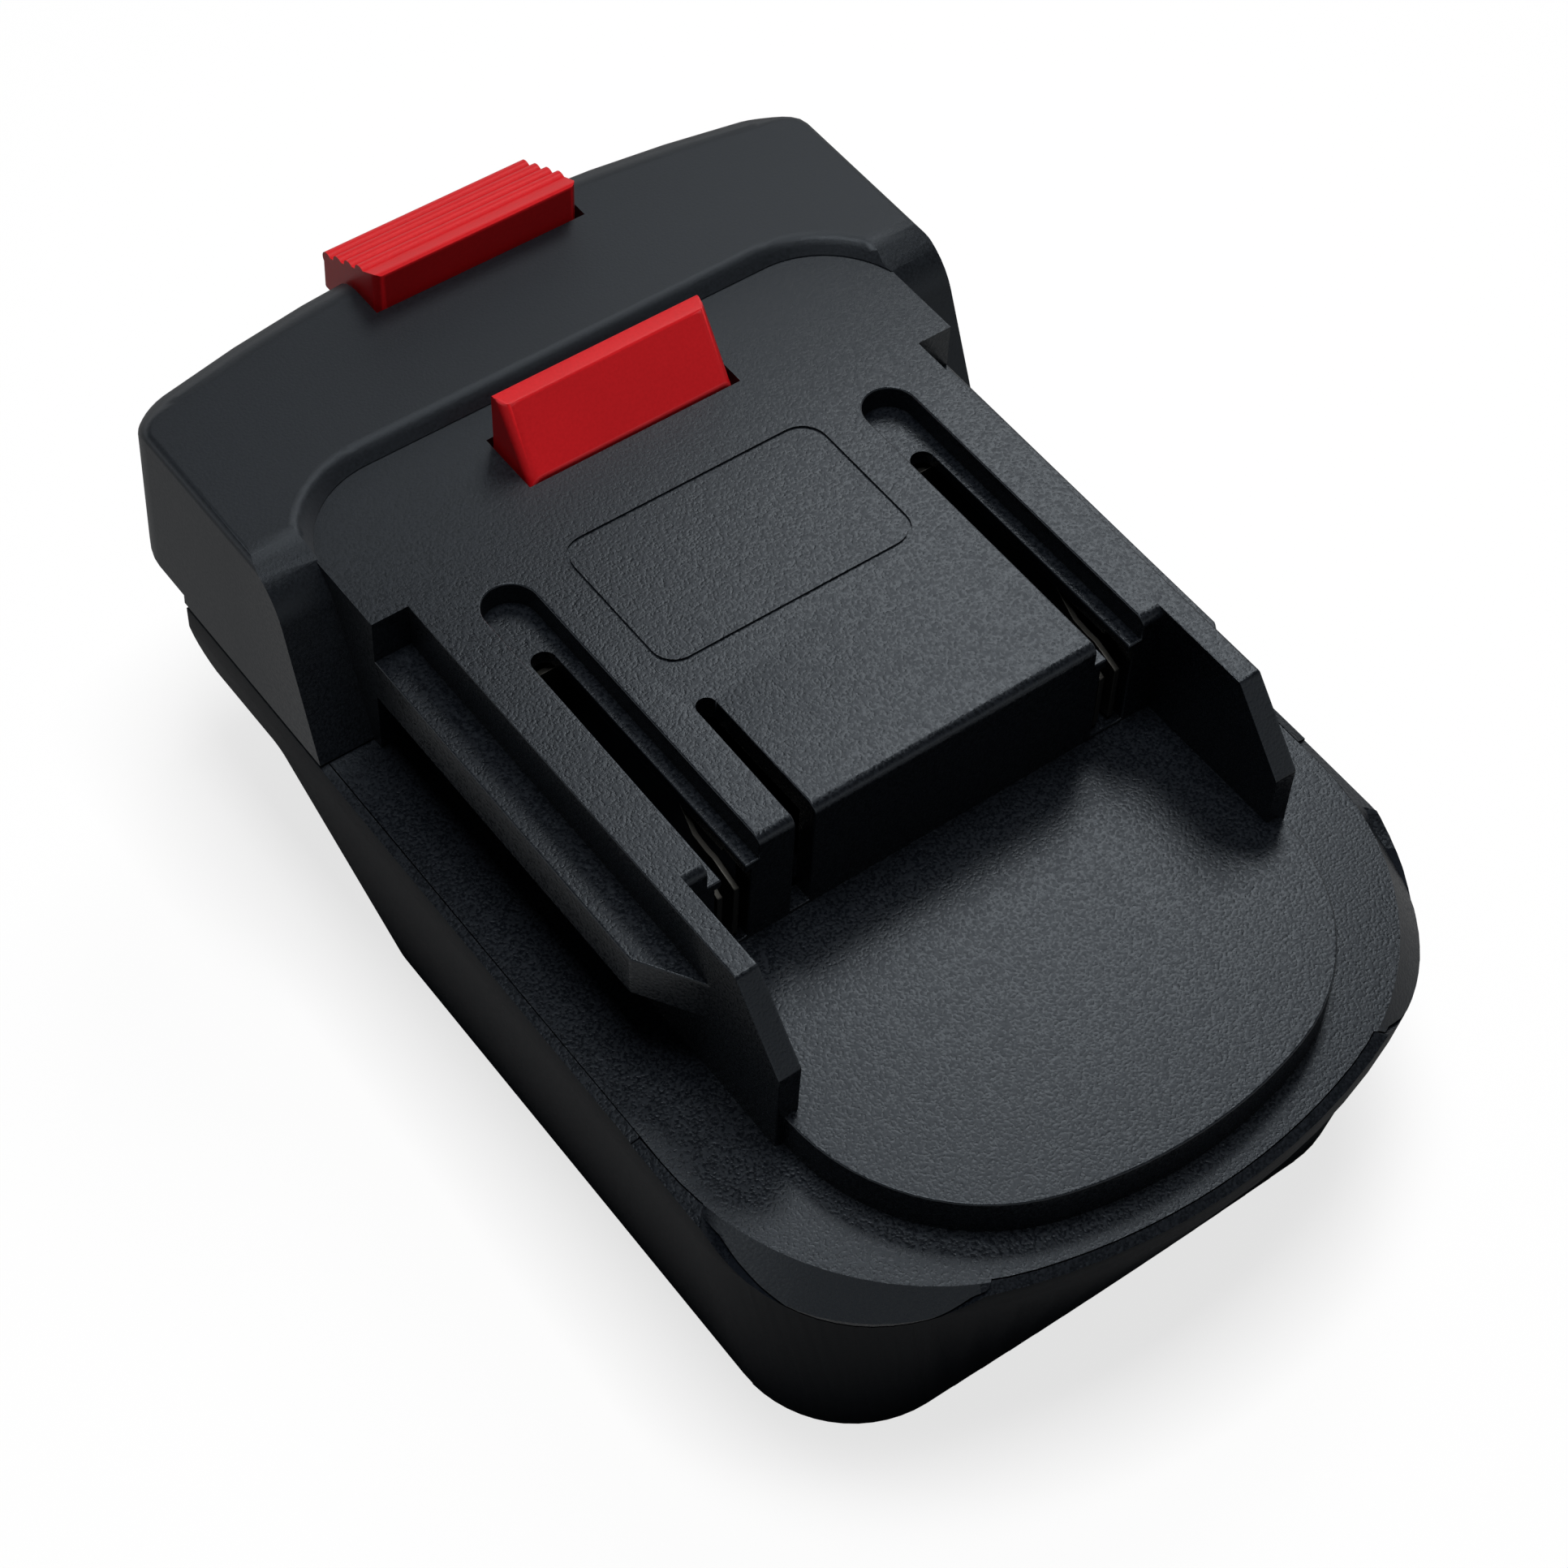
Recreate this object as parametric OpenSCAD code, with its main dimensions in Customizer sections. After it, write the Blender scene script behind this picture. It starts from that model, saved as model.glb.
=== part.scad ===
// Tool battery adapter: a slide-on top for one cordless tool over a socket for a different battery
// Front is -Y, where the rounded nose enters the tool, and the latch and button are at the rear

/* [Overall] */
// Width over the shoulder
body_w = 75; // [73:0.5:84]
// Width over the bottom rim
foot_w = 66; // [64:0.5:70]
// From the nose to the front face of the contact block
block_set = 41.4; // [40:0.2:46]
// Deck length from the contact block's face to the hump
deck_l = 54; // [53:0.5:60]
// Depth of the hump behind the deck
hump_d = 22.8; // [22:0.2:26]
// How far the button stands out behind the hump
button_out = 1.8; // [1.4:0.1:2.6]
// How far the hump hangs over the lower shell at the rear
hump_over = 14.4; // [13.6:0.2:15.4]

/* [Heights] */
// Depth of the battery socket
socket_h = 21; // [20:0.2:23]
// Floor between the socket and the wiring space
floor_t = 1.8; // [1.6:0.1:2.2]
// Wiring room between that floor and the shoulder plate
plate_gap = 3.2; // [3:0.1:4]
// Thickness of the shoulder plate
plate_t = 2.2; // [1.8:0.1:2.6]
// Deck above the shoulder
deck_h = 17; // [16.5:0.25:20]
// Tongue above the shoulder
tongue_h = 3.8; // [3.6:0.1:4.4]
// Hump above the deck
hump_h = 1.3; // [1:0.1:2]

/* [Walls] */
// Wall of the upper housing
wall = 2.2; // [1.8:0.1:2.4]
// Thickness of the deck
deck_t = 2.5; // [2.2:0.1:3]
// Side wall of the battery socket
side_t = 2.9; // [2.4:0.1:3.4]
// Lip of the lower shell round the shoulder plate
lip_t = 0.7; // [0.6:0.05:1]
// Gap of the seam between the two housings
seam_gap = 0.25; // [0.15:0.05:0.35]

/* [Tool rails] */
// Width over the tops of the rails
rail_w = 56; // [55:0.5:58]
// Width over the rail flanges
flange_w = 63.6; // [62:0.2:66]
// Deck down to the top of the flange
flange_drop = 5; // [4:0.25:5.5]
// Thickness of the flange
flange_t = 4.8; // [4:0.2:5.2]
// Flange length from the contact block's face to the stop
rail_l = 38; // [36:0.5:39]
// Length of the flange's slanted lead-in
lead_l = 6; // [4:0.5:8]
// Wall left between the rail's side and the wiring space
rail_wall = 2.5; // [2.2:0.1:3]
// Length of the horns in front of the contact block
horn_l = 16.3; // [14:0.1:18]
// Length of the horns' level top
horn_top_l = 10; // [7:0.5:12]
// Thickness of a horn
horn_t = 2.3; // [2:0.1:2.6]
// Deck down to the point of a horn
horn_drop = 7.3; // [5:0.1:9]
// Width of the tongue
tongue_w = 54.4; // [53:0.2:55]
// Tongue's front edge behind the nose
tongue_set = 4; // [3:0.25:6]

/* [Contacts] */
// Distance between the two wide slots
slot_pitch = 41.6; // [41:0.1:42.4]
// Width of a wide slot
slot_w = 5.2; // [4.6:0.1:5.6]
// Length of a wide slot
slot_l = 35.5; // [34:0.5:36]
// Depth of the wide slot's ledge
ledge = 2.5; // [2:0.1:2.8]
// Width of the blade slot in the ledge
blade_slot_w = 2.4; // [2:0.1:2.8]
// Length of the blade slot
blade_slot_l = 29; // [27:0.5:30]
// Width of the slots' mouths in the front face
mouth_w = 3.6; // [3.4:0.1:4]
// Third slot left of the middle
signal_x = 13.4; // [12.8:0.1:13.8]
// Width of the third slot
signal_w = 2; // [1.8:0.1:2.2]
// Length of the third slot
signal_l = 15.1; // [14:0.5:18]
// Thickness of the contact strip
strip_t = 0.6; // [0.4:0.05:0.7]
// Height of the spring clips
clip_h = 7.6; // [6.5:0.1:7.8]

/* [Latch] */
// Width of the wedge and button
latch_w = 22.4; // [20:0.2:24]
// Wedge's rear face in front of the deck's rear edge
wedge_set = 3.9; // [3:0.1:5]
// Depth of the wedge
wedge_d = 6.2; // [5.6:0.2:7]
// Depth of the wedge's level top
wedge_top = 2; // [1.5:0.1:2.5]
// Wedge above the deck
wedge_h = 6; // [5.6:0.1:6.4]
// Depth of the button from its front face to its rear end
button_d = 9.7; // [9:0.1:10.5]
// Button's front edge above the deck
button_h = 5.4; // [5:0.1:5.8]
// Fall of the button's ridged face towards the rear
button_fall = 5; // [4:0.1:5.5]
// Number of ridges across the button
ridges = 4; // [3:1:5]
// Travel of the latch when the button is pressed
travel = 5.4; // [5:0.1:5.6]
// Clearance round the wedge and button
latch_gap = 0.4; // [0.3:0.05:0.5]

/* [Battery socket] */
// Inward reach of the battery rails
socket_lip = 3.4; // [2.8:0.1:4]
// Thickness of the battery rails
socket_lip_h = 3; // [2.6:0.1:3.6]
// Bottom rim's front edge behind the nose
foot_set = 9.5; // [8:0.1:11]
// End of the deep part of the socket, behind the contact block's face
step_set = 35.2; // [34:0.1:37]
// Length of the slanted step up to the shallow rear
step_l = 13.2; // [12:0.2:14.4]
// Width of the terminal block
block_w = 34; // [33:0.25:34.5]
// Length of the terminal block
block_l = 12; // [11.5:0.25:13]
// Height of the terminal block under the socket's ceiling
block_h = 9; // [8.6:0.1:10]
// Distance between the two power blades
blade_pitch = 19; // [18.4:0.1:19.4]
// Thickness of the blades
blade_t = 0.8; // [0.6:0.05:0.9]

/* [Fasteners and springs] */
// Shank diameter of the housing screws
screw_d = 2; // [1.8:0.1:2.2]
// Shank diameter of the small screws
small_screw_d = 1.7; // [1.5:0.05:1.8]
// Outside diameter of the latch springs
spring_d = 6; // [5:0.1:6.2]
// Wire diameter of the latch springs
spring_wire = 0.6; // [0.5:0.05:0.7]
// Turns of a latch spring
spring_turns = 6; // [5:1:7]

/* [Hidden] */
$fn = 48;
black = "#26292b";
red = "#b5121b";
tin = "#b9bcbe";
steel = "#8f9499";
ivory = "#d8d4c6";

// Places along the body
half_w = body_w / 2;
total_l = block_set + deck_l + hump_d + button_out;
nose_y = -total_l / 2;
front_y = nose_y + block_set;
deck_y = front_y + deck_l;
hump_y = deck_y + hump_d;
button_y = hump_y + button_out;
stop_y = front_y + rail_l;
low_y = hump_y - hump_over;
step_y = front_y + step_set;

// Heights above the surface it stands on
floor_z = socket_h + floor_t;
plate_z = floor_z + plate_gap;
seam_z = plate_z + plate_t;
tongue_z = seam_z + tongue_h;
deck_z = seam_z + deck_h;
ceil_z = deck_z - deck_t;
hump_z = deck_z + hump_h;
flange_z = deck_z - flange_drop - flange_t;
overhang_rise = 1.3;
overhang_z = seam_z + overhang_rise;
cut_z = floor_z - 1.4;
lean_z = plate_z - 0.6;
over = 1;
screw_grip = 0.05;
screw_room = 0.3;
tray_gap = 0.3;
tray_t = 2;

// Outlines of the lower shell at its two ends, and of the shoulder plate inside its lip
low_front_r = 62;
low_corner_r = 19.5;
foot_front_r = 900;
foot_corner_r = 11.7;
low_rear_r = 4;
plate_in = lip_t + seam_gap;
plate_front_r = 60;
plate_corner_r = 27;
crease_y = front_y - 9;
nose_drop = 0.5;

// Scoops at the nose corners, where a leaning skirt of the shoulder plate dips into the lower shell
scoop_r = 20.6;
scoop_drop = 4.2;
scoop_in = 8.6;
scoop_set = 13.9;
skirt_t = 1.2;
skirt_lean = 0.7;

// Tongue, hump and pocket outlines
tongue_front_r = 45;
tongue_corner_r = 20;
hump_rear_r = 150;
hump_corner_r = 6.4;
hump_steps = 8;
hump_top_r = 4;
hump_side_share = 0.2;
hump_brow_r = 7;
hump_foot_r = 4.5;
wing_foot_y = stop_y + 1.2;
wing_lean = 0.375;
draft = 0.5;
pocket_w = flange_w + 0.6;
pocket_r = 10;
pocket_lip_h = hump_h - 0.1;
pocket_lip_l = 2.2;
hump_in = half_w - wall - draft;
rear_in = hump_y - hump_foot_r - 0.9;

// Panel groove on the deck
panel_w = 28;
panel_l = 17;
panel_r = 2.6;
panel_set = 19.2;
groove_w = 0.35;
groove_t = 0.2;

// Contact clips and their holder
slot_x = slot_pitch / 2;
mouth_z = tongue_z + 0.3;
holder_t = 2;
holder_z = tongue_z - 1.2;
clip_z = holder_z + holder_t;
holder_gap = 0.4;
holder_front_y = front_y + wall + holder_gap;
holder_end_y = front_y + blade_slot_l + 2;
clip_throat = 0.45;
clip_flare = 0.12;
clip_share = 0.51;
clip_spread = clip_share * (rail_w / 2 - rail_wall - slot_x);
clip_dip = 1.2;
clip_dip_l = 3;
clip_set = 0.6;
signal_throat = 0.3;
signal_spread = 0.9;
tail_w = 3;
tail_z = holder_z - 2.6;
tail_slack = 0.2;
boss_x = 7;
boss_y = front_y + 18.6;
boss_r = 2.8;
holder_bite = 4;

// Latch
wedge_y = deck_y - wedge_set;
button_front_y = button_y - button_d;
latch_plate_t = 2.5;
latch_plate_w = latch_w + 5;
latch_z = ceil_z - 0.3 - latch_plate_t;
button_z = ceil_z - 1.1;
window_z = button_z - travel - latch_gap;
ridge_r = 0.9;
ridge_set = 1.9;
ridge_sink = 0.5;
wedge_soft_r = 1.2;
button_soft_r = 1;
latch_shell = 2;

// Springs under the latch
spring_x = 9;
spring_slack = 0.4;
spring_y = low_y - side_t - spring_slack - spring_d / 2;
spring_seat = 0.05;
spring_z = floor_z + spring_seat;
spring_h = latch_z - spring_seat - spring_z;
coil_r = (spring_d - spring_wire) / 2;
post_r = coil_r - spring_wire / 2 - spring_slack;
post_h = 4;
stub_h = 2;

// Screws
pad_z = floor_z + 1.6;
pad_r = 3.6;
head_r = 2.4;
head_h = 1.7;
web_z = socket_h + 2;
screw_tip_z = pad_z + 3.4;
front_screw_x = 20;
front_screw_y = nose_y + 18;
rear_screw_x = 29.5;
rear_screw_y = low_y - 6.8;
small_head_r = 1.9;
small_head_h = 1.5;

// Terminal block in the socket
block_z = socket_h - block_h;
block_end_y = nose_y + 22;
block_mid_y = block_end_y - block_l / 2;
block_screw_x = 14.5;
block_screw_seat = 2.2;
blade_x = blade_pitch / 2;
blade_h = 5.4;
blade_z = block_z + 1.8;
blade_out = 12;
blade_tail_w = 3.2;
blade_tail_z = floor_z + 2.4;
signal_blade_x = -3;
blade_gap = 0.15;

// Pocket for the battery's own hook
hook_w = 23;
hook_d = 6;
hook_h = 4.8;
hook_wall = 1.5;
hook_y = spring_y - spring_d / 2 - spring_slack - hook_wall - hook_d;

// Leads from blade tail to clip tail, and the resistor between the third clip and the negative one
lead_d = 2.4;
signal_lead_d = 1.4;
solder_gap = 0.3;
power_tail_y = front_y + blade_slot_l;
signal_tail_y = front_y + signal_l;
lead_from_y = block_mid_y + blade_tail_w / 2 + solder_gap;
lead_from_z = floor_z + lead_d / 2 + 0.3;
lead_to_z = holder_z - lead_d / 2 - 0.4;
resistor_d = 1.8;
resistor_l = 3.6;
wire_d = 0.5;
resistor_z = tail_z + 0.4;
resistor_at = [-(signal_x + slot_x) / 2 + 1.6, (signal_tail_y + power_tail_y) / 2, resistor_z];
resistor_in = [[-signal_x, signal_tail_y + solder_gap, resistor_z], [-signal_x - 0.4, signal_tail_y + 2, resistor_z],
    resistor_at - [0, 2.6, 0], resistor_at];
resistor_out = [resistor_at, resistor_at + [0, 2.6, 0], [-slot_x + tail_w, power_tail_y - 1.8, resistor_z],
    [-slot_x + tail_w / 2 + solder_gap, power_tail_y - strip_t / 2, resistor_z]];

// Points of an arc
function arc(c, r, a0, a1, n) = [for (i = [0 : n]) let (a = a0 + (a1 - a0) * i / n) c + r * [cos(a), sin(a)]];

function unit(v) = v / norm(v);

// Points that round one corner of an outline
function turn(a, b, c, r, n) =
    r == 0 ? [b] :
    let (u = unit(a - b), v = unit(c - b), half = acos(u * v) / 2)
    let (m = b + unit(u + v) * r / sin(half), s = b + u * r / tan(half), e = b + v * r / tan(half))
    let (a0 = atan2(s.y - m.y, s.x - m.x), a1 = atan2(e.y - m.y, e.x - m.x))
    let (sweep = (a1 - a0 + 540) % 360 - 180)
    arc(m, r, a0, a0 + sweep, n);

// Outline through corners given as x, y and radius
function rounded(ps, n = 6) =
    let (k = len(ps))
    [for (i = [0 : k - 1])
        let (a = ps[(i + k - 1) % k], b = ps[i], c = ps[(i + 1) % k])
        each turn([a.x, a.y], [b.x, b.y], [c.x, c.y], b.z, n)];

// D outline: straight sides, round corners and a bowed front at y = front
function d_outline(hw, front, front_r, corner_r, rear, n = 14) =
    let (cx = hw - corner_r, fall = sqrt(pow(front_r - corner_r, 2) - cx * cx))
    let (cy = front + front_r - fall, swing = atan2(fall, cx))
    let (bow = arc([0, front + front_r], front_r, 180 + swing, 360 - swing, n))
    concat(
        [[hw, rear], [-hw, rear]],
        arc([-cx, cy], corner_r, 180, 180 + swing, n),
        [for (i = [1 : n - 1]) bow[i]],
        arc([cx, cy], corner_r, 360 - swing, 360, n)
    );

function ease(t) = t * t * (3 - 2 * t);

// Line of a lead that swings sideways on its way and rises in its second half
function lead_line(a, b, n) =
    [for (i = [0 : n])
        let (t = i / n)
        [a.x + (b.x - a.x) * ease(t), a.y + (b.y - a.y) * t, a.z + (b.z - a.z) * ease(max(0, 2 * t - 1))]];

// Smooth points through a route, with steps points between each pair
function route(ps, steps) =
    let (k = len(ps))
    concat([for (i = [0 : k - 2], j = [0 : steps - 1])
        let (a = ps[max(i - 1, 0)], b = ps[i], c = ps[i + 1], d = ps[min(i + 2, k - 1)], t = j / steps)
        b + (c - a) * t / 2 + (2 * a - 5 * b + 4 * c - d) * t * t / 2 + (3 * b - a - 3 * c + d) * t * t * t / 2],
        [ps[k - 1]]);

// Round tube swept along points
module tube(ps, d, sides = 8) {
    k = len(ps);
    rings = [for (i = [0 : k - 1])
        let (t = unit(ps[min(i + 1, k - 1)] - ps[max(i - 1, 0)]))
        let (u = unit(cross(t, [1, 0, 0.01])), v = cross(t, u))
        for (j = [0 : sides - 1]) ps[i] + d / 2 * (u * cos(360 * j / sides) + v * sin(360 * j / sides))];
    walls = [for (i = [0 : k - 2], j = [0 : sides - 1])
        let (a = i * sides + j, b = i * sides + (j + 1) % sides)
        each [[a, a + sides, b], [b, a + sides, b + sides]]];
    caps = [for (j = [1 : sides - 2]) each [[0, j, j + 1], [(k - 1) * sides, (k - 1) * sides + j + 1, (k - 1) * sides + j]]];
    polyhedron(rings, concat(walls, caps));
}

function level(outline, z) = [for (p = outline) [p.x, p.y, z]];

// Solid through rings of points, given from the top down
module loft(rings) {
    n = len(rings);
    k = len(rings[0]);
    walls = [for (ring = [0 : n - 2], i = [0 : k - 1])
        let (a = ring * k + i, b = ring * k + (i + 1) % k)
        each [[a, b, b + k], [a, b + k, a + k]]];
    caps = [[for (i = [k - 1 : -1 : 0]) i], [for (i = [0 : k - 1]) (n - 1) * k + i]];
    polyhedron([for (ring = rings) each ring], concat(walls, caps));
}

// Solid swept across the body from a side view outline
module across(outline, w) {
    rotate([90, 0, 90])
        linear_extrude(w, center = true)
            polygon(outline);
}

// Solid swept along the body from a front view outline
module along(outline, y0, y1) {
    translate([0, y1, 0])
        rotate([90, 0, 0])
            linear_extrude(y1 - y0)
                polygon(outline);
}

module block(x0, x1, y0, y1, z0, z1) {
    translate([x0, y0, z0])
        cube([x1 - x0, y1 - y0, z1 - z0]);
}

module post(x, y, z0, z1, r) {
    translate([x, y, z0])
        cylinder(h = z1 - z0, r = r);
}

module both_sides() {
    children();
    mirror([1, 0, 0])
        children();
}

// Slot with a round rear end, open at the front
module slot(x, w, y_tip, z0, z1) {
    post(x, y_tip - w / 2, z0, z1, w / 2);
    block(x - w / 2, x + w / 2, front_y - over, y_tip - w / 2, z0, z1);
}

// Form of the lower shell, from the straight-fronted bottom rim up to the bowed shoulder
module tub(inset, rear) {
    top = d_outline(half_w - inset, nose_y + inset, low_front_r - inset, low_corner_r - inset, rear);
    foot = d_outline(foot_w / 2 - inset, nose_y + foot_set + inset, foot_front_r - inset, foot_corner_r - inset, rear);
    deep = 1 + over / lean_z;
    low = [for (i = [0 : len(top) - 1]) top[i] + (foot[i] - top[i]) * deep];
    loft([level(top, seam_z + over), level(top, lean_z), level(low, -over)]);
}

function plate_outline(inset, rear) =
    d_outline(half_w - plate_in - inset, nose_y + plate_in + inset, plate_front_r - inset, plate_corner_r - inset, rear);

module plate_plan(inset, z0, z1, rear) {
    translate([0, 0, z0])
        linear_extrude(z1 - z0)
            polygon(plate_outline(inset, rear));
}

// Form that widens downwards from the edge of the shoulder plate
module plate_flare() {
    deep = scoop_drop + over;
    loft([level(plate_outline(0, front_y), seam_z), level(plate_outline(-skirt_lean * deep, front_y), seam_z - deep)]);
}

// Space above the shoulder's slight fall towards the nose
module nose_slope(gap) {
    across([[crease_y, seam_z - gap], [crease_y, seam_z + over], [nose_y - over, seam_z + over],
        [nose_y - over, seam_z - nose_drop - gap]], body_w + 2 * over);
}

module scoop(grow) {
    both_sides()
        translate([half_w - scoop_in, nose_y + scoop_set, seam_z - scoop_drop + scoop_r])
            rotate([0, 90, -45])
                cylinder(h = 2 * scoop_set, r = scoop_r + grow, center = true);
}

// Ring under the edge of the shoulder plate, out to the outside
module scoop_ring(inset, grow) {
    difference() {
        scoop(grow);
        plate_plan(inset, 0, deck_z, front_y);
    }
}

module shoulder() {
    difference() {
        union() {
            plate_plan(0, plate_z, seam_z, low_y - plate_in);
            intersection() {
                plate_flare();
                tub(0, front_y);
                scoop_ring(skirt_t, 0);
            }
        }
        nose_slope(0);
    }
}

module tongue_form(inset, z0, z1) {
    translate([0, 0, z0])
        linear_extrude(z1 - z0)
            polygon(d_outline(tongue_w / 2 - inset, nose_y + tongue_set + inset, tongue_front_r - inset,
                tongue_corner_r - inset, front_y + wall + over));
}

// Contact block and deck, as wide as the rail tops
module deck_core() {
    across(rounded([[front_y, plate_z, 0], [front_y, deck_z, 1], [deck_y + over, deck_z, 0],
        [deck_y + over, plate_z, 0]]), rail_w);
}

module rail_flange() {
    lead_y = front_y - 0.7;
    translate([0, 0, flange_z])
        linear_extrude(flange_t)
            polygon([[rail_w / 2 - over, stop_y + over], [flange_w / 2, stop_y + over], [flange_w / 2, lead_y],
                [rail_w / 2, lead_y - lead_l], [rail_w / 2 - over, lead_y - lead_l]]);
}

module horn() {
    translate([rail_w / 2 - horn_t / 2, 0, 0])
        across(rounded([[front_y + 3, plate_z, 0], [front_y + 3, deck_z, 0], [front_y - horn_top_l, deck_z, 0.6],
            [front_y - horn_l, deck_z - horn_drop, 0.6], [front_y - horn_l, plate_z, 0]], 3), horn_t);
}

// Side view of the hump, with its leaning wing front, soft brow and overhang
function hump_side() =
    let (foot_z = seam_z + seam_gap, lean = wing_lean * (hump_z - seam_z))
    rounded([[wing_foot_y, foot_z, 0], [wing_foot_y + lean, hump_z, hump_brow_r], [button_y, hump_z, 0],
        [button_y, overhang_z, 0], [low_y + seam_gap, overhang_z, 0], [low_y + seam_gap, foot_z, 0]], 8);

// Round foot of the hump's rear, turned about the centre of its bow
module hump_rear() {
    in_r = hump_rear_r - hump_d - deck_l;
    step_r = hump_rear_r - hump_foot_r - over;
    translate([0, hump_y - hump_rear_r, 0])
        rotate([0, 0, 45])
            rotate_extrude(angle = 90)
                polygon(rounded([[in_r, seam_z, 0], [step_r, seam_z, 0], [step_r, overhang_z, 0],
                    [hump_rear_r, overhang_z, hump_foot_r], [hump_rear_r, hump_z + over, 0], [in_r, hump_z + over, 0]], 8));
}

// Outline of the hump from above, from its right side round the rear to its left side
function hump_outline(inset) =
    let (ps = d_outline(half_w - inset, inset - hump_y, hump_rear_r - inset, hump_corner_r - inset, -stop_y, hump_steps))
    [for (i = [len(ps) - 1 : -1 : 0]) [ps[i].x, -ps[i].y]];

module hump_plan(inset, z0, z1) {
    translate([0, 0, z0])
        linear_extrude(z1 - z0)
            polygon(hump_outline(inset));
}

// Drafted form of the hump, whose top edge rolls over widely at the rear and narrowly at the sides
module hump_form() {
    base = hump_outline(0);
    side_y = base[0].y;
    turn_y = base[hump_steps].y;
    last = len(base) - 1;
    edge = [for (p = base)
        let (t = min(1, max(0, (p.y - side_y) / (turn_y - side_y))))
        hump_top_r * (hump_side_share + (1 - hump_side_share) * ease(t))];
    rolled = [for (a = [90 : -15 : 0])
        [for (i = [0 : last])
            let (z = hump_z - edge[i] * (1 - sin(a)))
            let (p = hump_outline(edge[i] * (1 - cos(a)) + draft * (z - seam_z) / (hump_z - seam_z))[i])
            [p.x, p.y, z]]];
    loft(concat(rolled, [level(base, seam_z)]));
}

module hump() {
    intersection() {
        hump_form();
        across(hump_side(), body_w + 2 * over);
        hump_rear();
    }
}

// Edge of the pocket in the hump, which rolls over from the deck up to the hump
function pocket_edge(at) =
    let (roll = [for (p = arc([1, 0], 1, 180, 90, 6)) [p.x * pocket_lip_l, hump_h - pocket_lip_h + p.y * pocket_lip_h]])
    [for (p = concat([[-over, 0], [0, 0]], roll, [[pocket_lip_l, hump_h + over], [-over, hump_h + over]])) p + at];

// Hollow above the deck inside the hump
module deck_pocket() {
    hw = pocket_w / 2;
    start_y = stop_y - over;
    translate([0, 0, deck_z])
        linear_extrude(hump_h + over)
            polygon(rounded([[-hw, start_y, 0], [hw, start_y, 0], [hw, deck_y, pocket_r], [-hw, deck_y, pocket_r]], 10));
    across(pocket_edge([deck_y, deck_z]), pocket_w - 2 * pocket_r);
    both_sides() {
        along(pocket_edge([hw, deck_z]), start_y, deck_y - pocket_r);
        translate([hw - pocket_r, deck_y - pocket_r, deck_z])
            rotate_extrude(angle = 90)
                polygon(pocket_edge([pocket_r, 0]));
    }
}

// Wiring space under the deck, in the hump and under the tongue
module upper_hollow() {
    in_w = rail_w / 2 - rail_wall;
    lean = wing_lean * (ceil_z - seam_z);
    front_in = wing_foot_y + wall * norm([1, wing_lean]);
    block(-in_w, in_w, front_y + wall, deck_y, cut_z, ceil_z);
    tongue_form(wall, cut_z, tongue_z - wall);
    intersection() {
        hump_plan(wall, cut_z, ceil_z);
        across(rounded([[front_in, cut_z, 0], [front_in, seam_z, 0], [front_in + lean, ceil_z, 0],
            [hump_y - wall, ceil_z, hump_top_r - wall], [hump_y - wall, seam_z + 6, 0],
            [rear_in, seam_z + 3, 0], [rear_in, cut_z, 0]]), 2 * hump_in);
    }
}

module upper_inside() {
    guide_z = deck_z - ledge - 1.5;
    both_sides() {
        block(slot_x - slot_w / 2 - 1.2, rail_w / 2 - over, front_y + over, front_y + slot_l + 1.6, guide_z, ceil_z + over);
        post(front_screw_x, front_screw_y, pad_z, tongue_z - over, 3);
        post(rear_screw_x, rear_screw_y, pad_z, ceil_z + over, 3);
        post(boss_x, boss_y, clip_z, ceil_z + over, boss_r);
        block(latch_plate_w / 2 + latch_gap, latch_plate_w / 2 + latch_gap + 2, deck_y + 5, deck_y + 9,
            latch_z - travel - over, ceil_z + over);
    }
}

module upper_cuts() {
    both_sides() {
        slot(slot_x, slot_w, front_y + slot_l, deck_z - ledge, deck_z + over);
        slot(slot_x, blade_slot_w, power_tail_y, mouth_z, deck_z);
        block(slot_x - mouth_w / 2, slot_x + mouth_w / 2, front_y - over, front_y + wall + over, mouth_z,
            deck_z - ledge - 1);
        post(front_screw_x, front_screw_y, pad_z - over, screw_tip_z + screw_room, screw_d / 2 + screw_grip);
        post(rear_screw_x, rear_screw_y, pad_z - over, screw_tip_z + screw_room, screw_d / 2 + screw_grip);
        post(boss_x, boss_y, clip_z - over, clip_z + holder_bite + 2 * screw_room, small_screw_d / 2 + screw_grip);
    }
    slot(-signal_x, signal_w, front_y + signal_l, mouth_z, deck_z + over);
    block(-latch_w / 2 - latch_gap, latch_w / 2 + latch_gap, wedge_y - wedge_d - latch_gap, wedge_y + latch_gap,
        ceil_z - over, hump_z + over);
    block(-latch_w / 2 - latch_gap, latch_w / 2 + latch_gap, button_front_y - latch_gap, button_y + over,
        window_z, hump_z + over);
    panel_groove();
}

module panel_outline(inset) {
    hw = panel_w / 2 - inset;
    y0 = front_y + panel_set + inset;
    y1 = front_y + panel_set + panel_l - inset;
    r = panel_r - inset;
    polygon(rounded([[-hw, y0, r], [hw, y0, r], [hw, y1, r], [-hw, y1, r]]));
}

module panel_groove() {
    translate([0, 0, deck_z - groove_t])
        linear_extrude(groove_t + over)
            difference() {
                panel_outline(0);
                panel_outline(groove_w);
            }
}

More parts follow.
